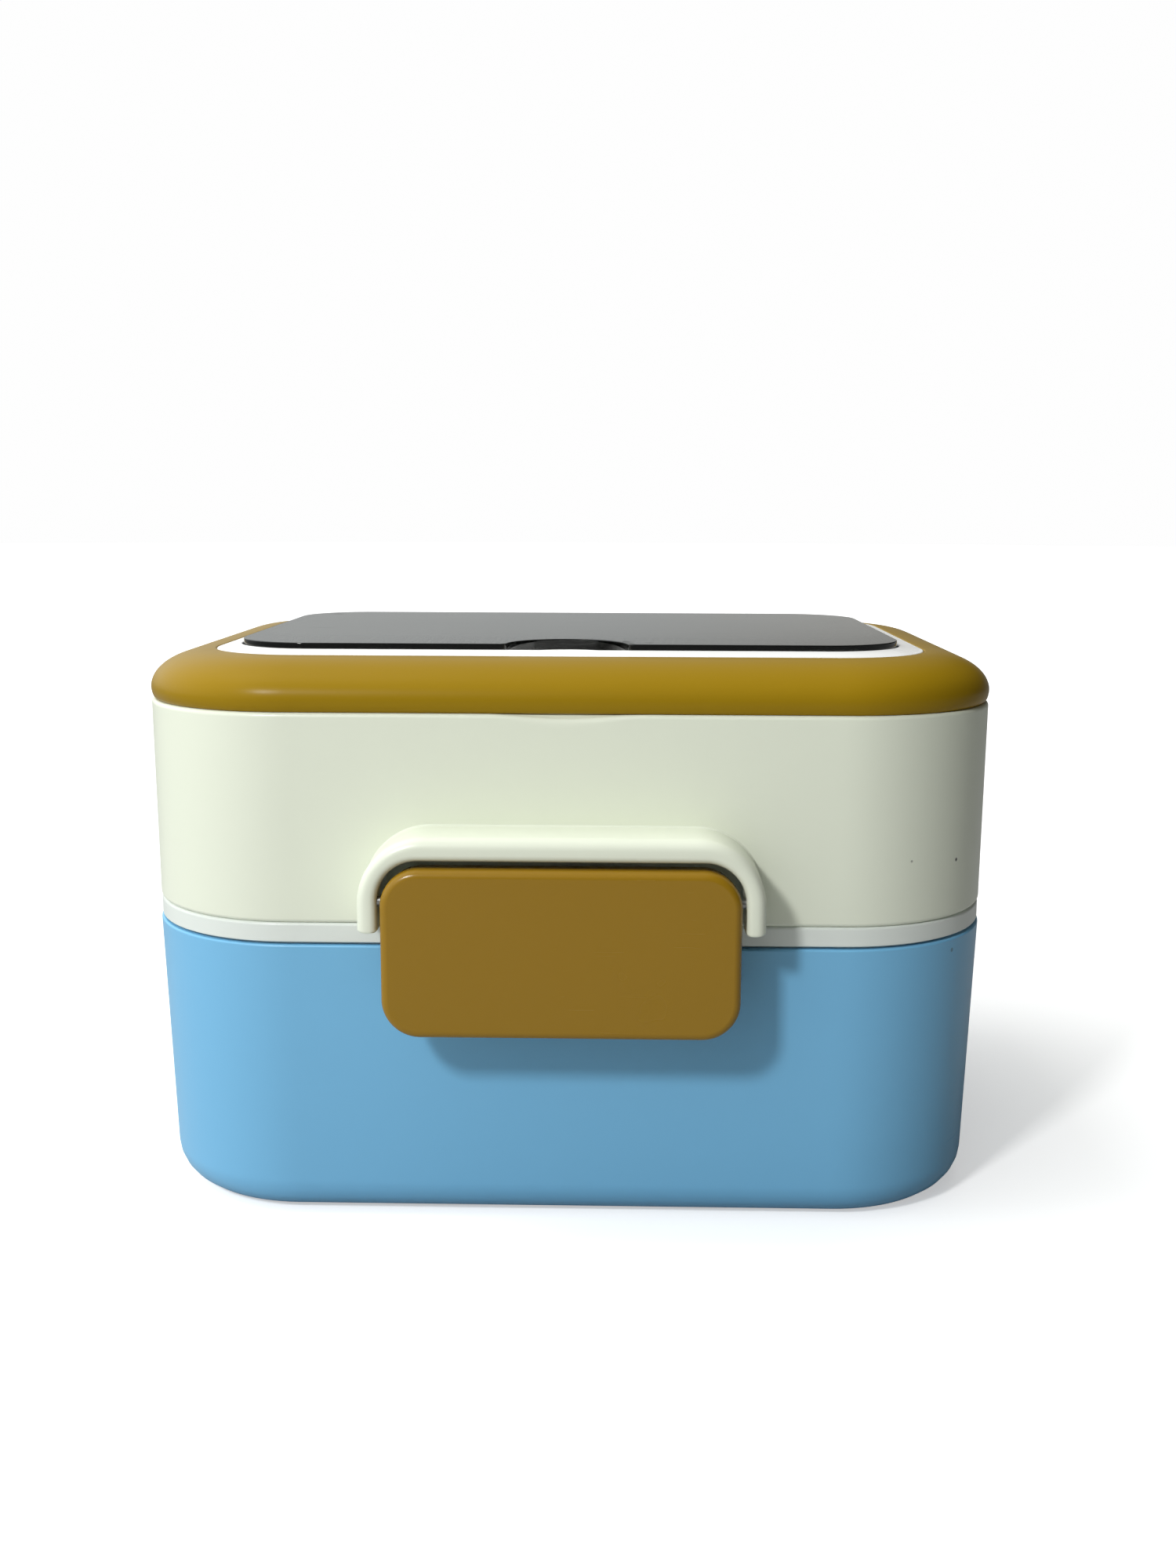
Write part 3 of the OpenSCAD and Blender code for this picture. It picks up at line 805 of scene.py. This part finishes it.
def cutlery_tray():
    """White tray: sloping rim, seat for the cover, recess, finger hollow and a plug below."""
    edge = RIM_MARGIN + 0.15
    seat = COVER_MARGIN - 0.4
    lip = DOME_Z - LIP_H
    plug = UPPER_M + WALL_T + PLUG_GAP
    groove_z = LID_SEAL_LOW.z
    base_top = RIM_Z - 0.4
    under = rounded_path([
        (30, TRAY_FLOOR - 2), (plug + PLUG_T, TRAY_FLOOR - 2, 0.6), (plug + PLUG_T, TRAY_LOW.z, 0.5),
        (plug, TRAY_LOW.z, 0.5), (plug, groove_z, 0.1), (plug + GROOVE_DEEP, groove_z, 0.1),
        (plug + GROOVE_DEEP, groove_z + LID_GROOVE_H, 0.1), (plug, groove_z + LID_GROOVE_H, 0.1),
        (plug, base_top, 0.3), (RIM_MARGIN + 2, base_top),
    ])
    rings = [box_ring(m, z) for m, z in under]
    rings.append(recess_ring(2, base_top))
    rings.append(recess_ring(2, lip - 2.2))
    top = rounded_path([
        (RIM_MARGIN + 1, lip - 2.2), (RIM_MARGIN - 2.8, lip - 2.2, 0.3), (RIM_MARGIN - 2.8, lip, 0.3),
        (edge, lip, 0.1), (edge, DOME_Z - 0.02, 0.35), (edge + 0.9, DOME_Z + 0.06, 0.3),
        (seat, RIM_TOP, 0.3), (seat, COVER_Z, 0.25), (seat + 1.0, COVER_Z),
    ])
    rings += [box_ring(m, z, rim_corner(max(m, RIM_MARGIN - 3))) for m, z in top]
    well = rounded_path([
        (1.2, COVER_Z), (0, COVER_Z, 0.5), (0, TRAY_FLOOR, 2.2), (-8, TRAY_FLOOR),
    ])
    rings += [recess_ring(grow, z) for grow, z in well]
    tray = loft("cutlery_tray_insert", rings)
    combine(tray, [finger_hollow()], "DIFFERENCE")
    place(smooth(tray), "cutlery_tray", "lid", TRAY_WHITE)


def finger_hollow():
    """Tool for the half-round hollow in the deck under the notch."""
    chord_y = COVER_FRONT + 1.8
    steps = 40
    depth = 4.5

    def ring(inset, z):
        r = NOTCH_R - inset
        y0 = chord_y + inset
        reach = math.acos(max(-1, min(1, (y0 - COVER_FRONT) / r)))
        points = []
        for i in range(steps + 1):
            a = math.pi / 2 + reach - 2 * reach * i / steps
            points.append((r * math.cos(a), COVER_FRONT + r * math.sin(a), z))
        for i in range(1, 10):
            t = i / 10
            points.append((points[steps][0] + (points[0][0] - points[steps][0]) * t, y0, z))
        return points

    sides = rounded_path([(0, COVER_Z + 3), (0, COVER_Z - depth, 1.6), (4, COVER_Z - depth)])
    return loft("hollow", [ring(inset, z) for inset, z in sides])


def cover_outline():
    """Points and outward normals of the cover, with its thumb notch."""
    w, d, r = BOX_W - 2 * COVER_MARGIN, BOX_D - 2 * COVER_MARGIN, COVER_CORNER
    cx, cy = w / 2 - r, d / 2 - r
    soft = 1.3
    front = -d / 2
    # centre of the small round between the front edge and the notch
    mouth = math.sqrt((NOTCH_R + soft) ** 2 - soft ** 2)
    turn = math.asin(soft / (NOTCH_R + soft))
    points = []

    def arc(centre, radius, start, end, steps, outward=1):
        for i in range(steps):
            a = start + (end - start) * i / steps
            way = (math.cos(a), math.sin(a))
            points.append((centre[0] + radius * way[0], centre[1] + radius * way[1],
                           outward * way[0], outward * way[1]))

    def line(start, end, steps):
        length = math.dist(start, end)
        normal = ((end[1] - start[1]) / length, (start[0] - end[0]) / length)
        for i in range(steps):
            t = i / steps
            x, y = start[0] + (end[0] - start[0]) * t, start[1] + (end[1] - start[1]) * t
            points.append((x, y, *normal))

    quarter = math.pi / 2
    line((-cx, front), (-mouth, front), 14)
    arc((-mouth, front + soft), soft, -quarter, turn, 8)
    arc((0, front), NOTCH_R, math.pi - turn, turn, 48, -1)
    arc((mouth, front + soft), soft, math.pi - turn, math.pi + quarter, 8)
    line((mouth, front), (cx, front), 14)
    arc((cx, -cy), r, -quarter, 0, CORNER_STEPS)
    line((w / 2, -cy), (w / 2, cy), SIDE_STEPS)
    arc((cx, cy), r, 0, quarter, CORNER_STEPS)
    line((cx, d / 2), (-cx, d / 2), SIDE_STEPS)
    arc((-cx, cy), r, quarter, math.pi, CORNER_STEPS)
    line((-w / 2, cy), (-w / 2, -cy), SIDE_STEPS)
    arc((-cx, -cy), r, math.pi, 3 * quarter, CORNER_STEPS)
    return points


def smoked_cover():
    """Smoky plate with a soft upper edge and a thumb notch."""
    outline = cover_outline()
    top = COVER_HIGH.z
    profile = rounded_path([(0.9, COVER_Z), (0, COVER_Z, 0.25), (0, top, 0.2), (0.8, top)])
    rings = [[(x - nx * inset, y - ny * inset, z) for x, y, nx, ny in outline] for inset, z in profile]
    plate = loft("smoked_cover_plate", rings)
    place(smooth(plate), "smoked_cover", "smoked_cover", SMOKED)


def spoon():
    """Spoon lofted across its length: round-ended handle, narrow neck and dished bowl."""
    length = SPOON_HIGH.x - SPOON_LOW.x
    y_mid = (SPOON_HIGH.y + SPOON_LOW.y) / 2
    bowl_l = 42
    neck = SPOON_HIGH.x - bowl_l
    low = SPOON_LOW.z
    rings = []
    steps, across = 72, 20
    for i in range(steps + 1):
        t = i / steps
        x = SPOON_LOW.x + length * (0.5 - 0.5 * math.cos(math.pi * t))
        if x < neck:
            u = (x - SPOON_LOW.x) / (neck - SPOON_LOW.x)
            end = math.sqrt(max(0, 1 - max(0, 1 - (x - SPOON_LOW.x) / 6) ** 2))
            half = (6 - 2.6 * u) * end
            dish = 0.35
            height = low + 4.4 + 1.2 * math.sin(math.pi * u) - 0.5 * u
        else:
            u = (x - neck) / bowl_l
            swell = math.sin(math.pi * min(1, u) ** 0.86) ** 0.62
            half = max(3.4 * (1 - u) ** 2, 14.6 * swell) if u < 1 else 0
            dish = 0.35 + 3.4 * math.sin(math.pi * u) ** 0.9
            height = low + 3.9 + 1.5 * u ** 2
        half = max(half, 0.05)
        thick = 0.25 + 1.15 * min(1, half / 2)
        ring = []
        for k in range(across):
            a = 2 * math.pi * k / across
            side = math.cos(a)
            v = math.copysign(abs(side) ** 0.8, side)
            sag = dish * (1 - v * v)
            rise = math.copysign(abs(math.sin(a)) ** 0.7, math.sin(a))
            ring.append((x, y_mid + half * v, height - sag + thick * rise))
        rings.append(ring)
    piece = loft("spoon_moulding", rings)
    place(smooth(piece), "spoon", "spoon", CUTLERY)


def fork():
    """Fork: outline with four tines, rounded edges, arched along its length."""
    y_mid = (FORK_HIGH.y + FORK_LOW.y) / 2
    x0, x1 = FORK_LOW.x, FORK_HIGH.x
    head, tine, slot, soft = 22, 26, 3.0, 0.55
    curve = bpy.data.curves.new("fork_outline", "CURVE")
    curve.dimensions = "2D"
    curve.fill_mode = "BOTH"
    curve.extrude = (1.0 - soft / 2) * MM
    curve.bevel_depth = soft * MM
    curve.bevel_resolution = 3
    curve.offset = -soft * MM
    points = fork_outline(x0, x1, head, tine, slot)
    spline = curve.splines.new("POLY")
    spline.points.add(len(points) - 1)
    for item, (x, y) in zip(spline.points, points):
        item.co = (x * MM, y * MM, 0, 1)
    spline.use_cyclic_u = True
    source = bpy.data.objects.new("fork_source", curve)
    bpy.context.scene.collection.objects.link(source)
    graph = bpy.context.evaluated_depsgraph_get()
    mesh = bpy.data.meshes.new_from_object(source.evaluated_get(graph))
    bpy.data.objects.remove(source)
    bm = bmesh.new()
    bm.from_mesh(mesh)
    bpy.data.meshes.remove(mesh)
    bmesh.ops.scale(bm, vec=(1 / MM,) * 3, verts=bm.verts)
    length = x1 - x0
    for cut in range(1, 34):
        x = x0 + length * cut / 34
        everything = bm.verts[:] + bm.edges[:] + bm.faces[:]
        bmesh.ops.bisect_plane(bm, geom=everything, plane_co=(x, 0, 0), plane_no=(1, 0, 0))
    for vert in bm.verts:
        u = (vert.co.x - x0) / length
        arch = 2.2 * math.sin(math.pi * min(1, u / 0.72)) ** 2 + 1.6 * max(0, (u - 0.8) / 0.2) ** 2
        vert.co.y += y_mid
        vert.co.z += FORK_LOW.z + 1.3 + arch
    piece = new_object("fork_moulding", bm)
    place(smooth(piece, 50), "fork", "fork", CUTLERY)


def fork_outline(x0, x1, head, tine, slot):
    """Outline of the fork from above, round its handle, shoulders and tines."""
    points = []

    def arc(cx, cy, r, start, end, steps):
        for i in range(steps + 1):
            a = math.radians(start + (end - start) * i / steps)
            points.append((cx + r * math.cos(a), cy + r * math.sin(a)))

    neck_x = x1 - tine - 22
    pitch = (head + slot) / 4
    tine_w = pitch - slot
    arc(x0 + 6, 0, 6, 270, 90, 18)
    points.append((neck_x - 6, 3.2))
    for i in range(1, 12):
        t = i / 12
        ease = t * t * (3 - 2 * t)
        points.append((neck_x - 6 + 20 * t, 3.2 + (head / 2 - 3.2) * ease))
    for k in (1.5, 0.5, -0.5, -1.5):
        y = k * pitch
        points.append((x1 - tine_w / 2, y + tine_w / 2))
        arc(x1 - tine_w * 0.5, y, tine_w / 2, 80, -80, 8)
        points.append((x1 - tine_w / 2, y - tine_w / 2))
        if k > -1:
            arc(x1 - tine + slot / 2, y - pitch / 2, slot / 2, 90, 270, 8)
    for i in range(11, 0, -1):
        t = i / 12
        ease = t * t * (3 - 2 * t)
        points.append((neck_x - 6 + 20 * t, -3.2 - (head / 2 - 3.2) * ease))
    points.append((neck_x - 6, -3.2))
    return points


lower_tier()
inner_lid()
seal("inner_lid_seal", "lower_lid_seal", "inner_lid", INNER_SEAL_LOW, INNER_SEAL_HIGH)
upper_tier()
hinge_pin("front_hinge_pin", "upper_tier", False)
hinge_pin("rear_hinge_pin", "upper_tier", True)
latch("front_latch", "front_latch", False)
latch("rear_latch", "rear_latch", True)
lid_frame()
cutlery_tray()
seal("lid_seal_ring", "lid_seal", "lid", LID_SEAL_LOW, LID_SEAL_HIGH)
smoked_cover()
spoon()
fork()


# ----------------------------------------------------------------------- stage

SKY_LEAN = (-1.12, 0.20, 0.50)      # how the sky's brightness grows along X, Y and Z
SKY_LEVEL = 0.095                   # brightness where the lean is zero
SKY_LEAST = 0.03                    # brightness never falls below this
FAR_WALL = (0.070, 0.140)           # low and high edge of the soft band behind the box
FAR_TILT = 1.0                      # how much the band brightens to the right
FAR_LEVEL = 0.14                    # brightness of the band's middle
FLOOR_GLOW = 0.47                   # glow of the table near the box
FLOOR_GLOW_FAR = 0.9                # and far from it
FLOOR_BOUNCE = 0.46                 # what the table throws back on the box
KEY_WAY = (-8.25, -15, 11.6)
KEY_DISTANCE = 0.932
KEY_SIZE = 0.10
KEY_POWER = 4.05
TOP_WAY = (-5, 0, 12)
TOP_DISTANCE = 0.75
TOP_SIZE = 0.4
TOP_POWER = 2.4
LIGHT_TARGET = (0, 0, 0.06)
CAMERA_PLACE = (0.012303, -0.397349, 0.155792)
CAMERA_YAW, CAMERA_PITCH, CAMERA_ROLL = -0.02184, 0.17539, 0.00344
CAMERA_LENS = 36.386


def floor():
    """Pale matt table top under the box, bright to the eye and softer in what it throws back."""
    g = Graph("pale_table")
    cloud = g.range(g.noise(3, 4), 0.3, 0.7, 0, 1)
    g.link(g.mix(cloud, (0.88, 0.88, 0.88), (0.90, 0.90, 0.895)), g.shader.inputs["Base Color"])
    g.link(g.range(g.noise(40, 3), 0.3, 0.7, 0.6, 0.75), g.shader.inputs["Roughness"])
    g.link(g.bump(g.noise(700, 3), 0.00002), g.shader.inputs["Normal"])
    g.shader.inputs["Specular IOR Level"].default_value = 0.1
    g.shader.inputs["Emission Color"].default_value = (1, 1, 1, 1)
    away = g.node("ShaderNodeVectorMath", operation="LENGTH")
    g.link(g.where, away.inputs[0])
    glow = g.range(away.outputs["Value"], 0.25, 1.1, FLOOR_GLOW, FLOOR_GLOW_FAR)
    g.link(glow, g.shader.inputs["Emission Strength"])
    bounce = g.node("ShaderNodeBsdfDiffuse")
    bounce.inputs["Color"].default_value = (FLOOR_BOUNCE, FLOOR_BOUNCE, FLOOR_BOUNCE, 1)
    mix = g.node("ShaderNodeMixShader")
    g.link(g.node("ShaderNodeLightPath").outputs["Is Camera Ray"], mix.inputs["Fac"])
    g.link(bounce.outputs["BSDF"], mix.inputs[1])
    g.link(g.shader.outputs["BSDF"], mix.inputs[2])
    g.link(mix.outputs["Shader"], g.tree.nodes["Material Output"].inputs["Surface"])
    bpy.ops.mesh.primitive_circle_add(vertices=96, radius=6, fill_type="NGON", location=(0, 0, 0))
    table = bpy.context.object
    table.name = "table_top"
    table.data.materials.append(g.material)


def world():
    """White surroundings; what lights the box is brighter overhead and to the left."""
    made = bpy.data.worlds.new("studio")
    made.use_nodes = True
    bpy.context.scene.world = made
    tree = made.node_tree
    tree.nodes.clear()

    def math_node(operation, *values):
        node = tree.nodes.new("ShaderNodeMath")
        node.operation = operation
        for socket, value in zip(node.inputs, values):
            if isinstance(value, (int, float)):
                socket.default_value = value
            else:
                tree.links.new(value, socket)
        return node.outputs["Value"]

    where = tree.nodes.new("ShaderNodeTexCoord").outputs["Generated"]
    side = tree.nodes.new("ShaderNodeSeparateXYZ")
    tree.links.new(where, side.inputs["Vector"])
    # slightly cool light from the left, warm light from the right
    tint = tree.nodes.new("ShaderNodeValToRGB")
    tint.color_ramp.elements[0].position = 0.0
    tint.color_ramp.elements[0].color = (0.97, 1.0, 0.99, 1)
    tint.color_ramp.elements[1].position = 0.9
    tint.color_ramp.elements[1].color = (1.0, 0.86, 0.66, 1)
    tree.links.new(side.outputs["X"], tint.inputs["Fac"])
    lean = tree.nodes.new("ShaderNodeVectorMath")
    lean.operation = "DOT_PRODUCT"
    lean.inputs[1].default_value = SKY_LEAN
    tree.links.new(where, lean.inputs[0])
    level = math_node("ADD", lean.outputs["Value"], SKY_LEVEL)
    # the soft band low behind the box, which the cover reflects
    band = tree.nodes.new("ShaderNodeMapRange")
    band.inputs["From Min"].default_value = FAR_WALL[0]
    band.inputs["From Max"].default_value = FAR_WALL[1]
    band.inputs["To Min"].default_value = 1.0
    band.inputs["To Max"].default_value = 0.0
    tree.links.new(side.outputs["Z"], band.inputs["Value"])
    behind = math_node("MAXIMUM", side.outputs["Y"], 0.0)
    reach = math_node("MULTIPLY", band.outputs["Result"], behind)
    tilt = math_node("MULTIPLY_ADD", side.outputs["X"], FAR_TILT, FAR_LEVEL)
    strength = math_node("MAXIMUM", math_node("MULTIPLY_ADD", reach, tilt, level), SKY_LEAST)

    room = tree.nodes.new("ShaderNodeBackground")
    tree.links.new(tint.outputs["Color"], room.inputs["Color"])
    tree.links.new(strength, room.inputs["Strength"])
    seen = tree.nodes.new("ShaderNodeBackground")
    seen.inputs["Color"].default_value = (0.99, 0.99, 0.99, 1)
    mix = tree.nodes.new("ShaderNodeMixShader")
    tree.links.new(tree.nodes.new("ShaderNodeLightPath").outputs["Is Camera Ray"], mix.inputs["Fac"])
    tree.links.new(room.outputs["Background"], mix.inputs[1])
    tree.links.new(seen.outputs["Background"], mix.inputs[2])
    output = tree.nodes.new("ShaderNodeOutputWorld")
    tree.links.new(mix.outputs["Shader"], output.inputs["Surface"])


def area_light(name, way, distance, size, power, glossy=True):
    """Soft square light, pointed at the middle of the box."""
    target = Vector(LIGHT_TARGET)
    data = bpy.data.lights.new(name, "AREA")
    data.shape = "SQUARE"
    data.size = size
    data.energy = power
    lamp = bpy.data.objects.new(name, data)
    bpy.context.scene.collection.objects.link(lamp)
    lamp.location = target + Vector(way).normalized() * distance
    lamp.rotation_euler = (target - lamp.location).to_track_quat("-Z", "Y").to_euler()
    lamp.visible_glossy = glossy


def camera():
    """Camera at the photograph's viewing angle."""
    data = bpy.data.cameras.new("camera")
    data.sensor_width = 36
    data.lens = CAMERA_LENS
    data.clip_start = 0.01
    made = bpy.data.objects.new("camera", data)
    bpy.context.scene.collection.objects.link(made)
    turn = Matrix.Rotation(-CAMERA_YAW, 4, "Z")
    turn = turn @ Matrix.Rotation(math.pi / 2 - CAMERA_PITCH, 4, "X")
    turn = turn @ Matrix.Rotation(CAMERA_ROLL, 4, "Z")
    made.matrix_world = Matrix.Translation(CAMERA_PLACE) @ turn
    bpy.context.scene.camera = made


floor()
world()
area_light("key", KEY_WAY, KEY_DISTANCE, KEY_SIZE, KEY_POWER)
area_light("top", TOP_WAY, TOP_DISTANCE, TOP_SIZE, TOP_POWER, glossy=False)
camera()
bpy.context.scene.view_settings.view_transform = "Standard"
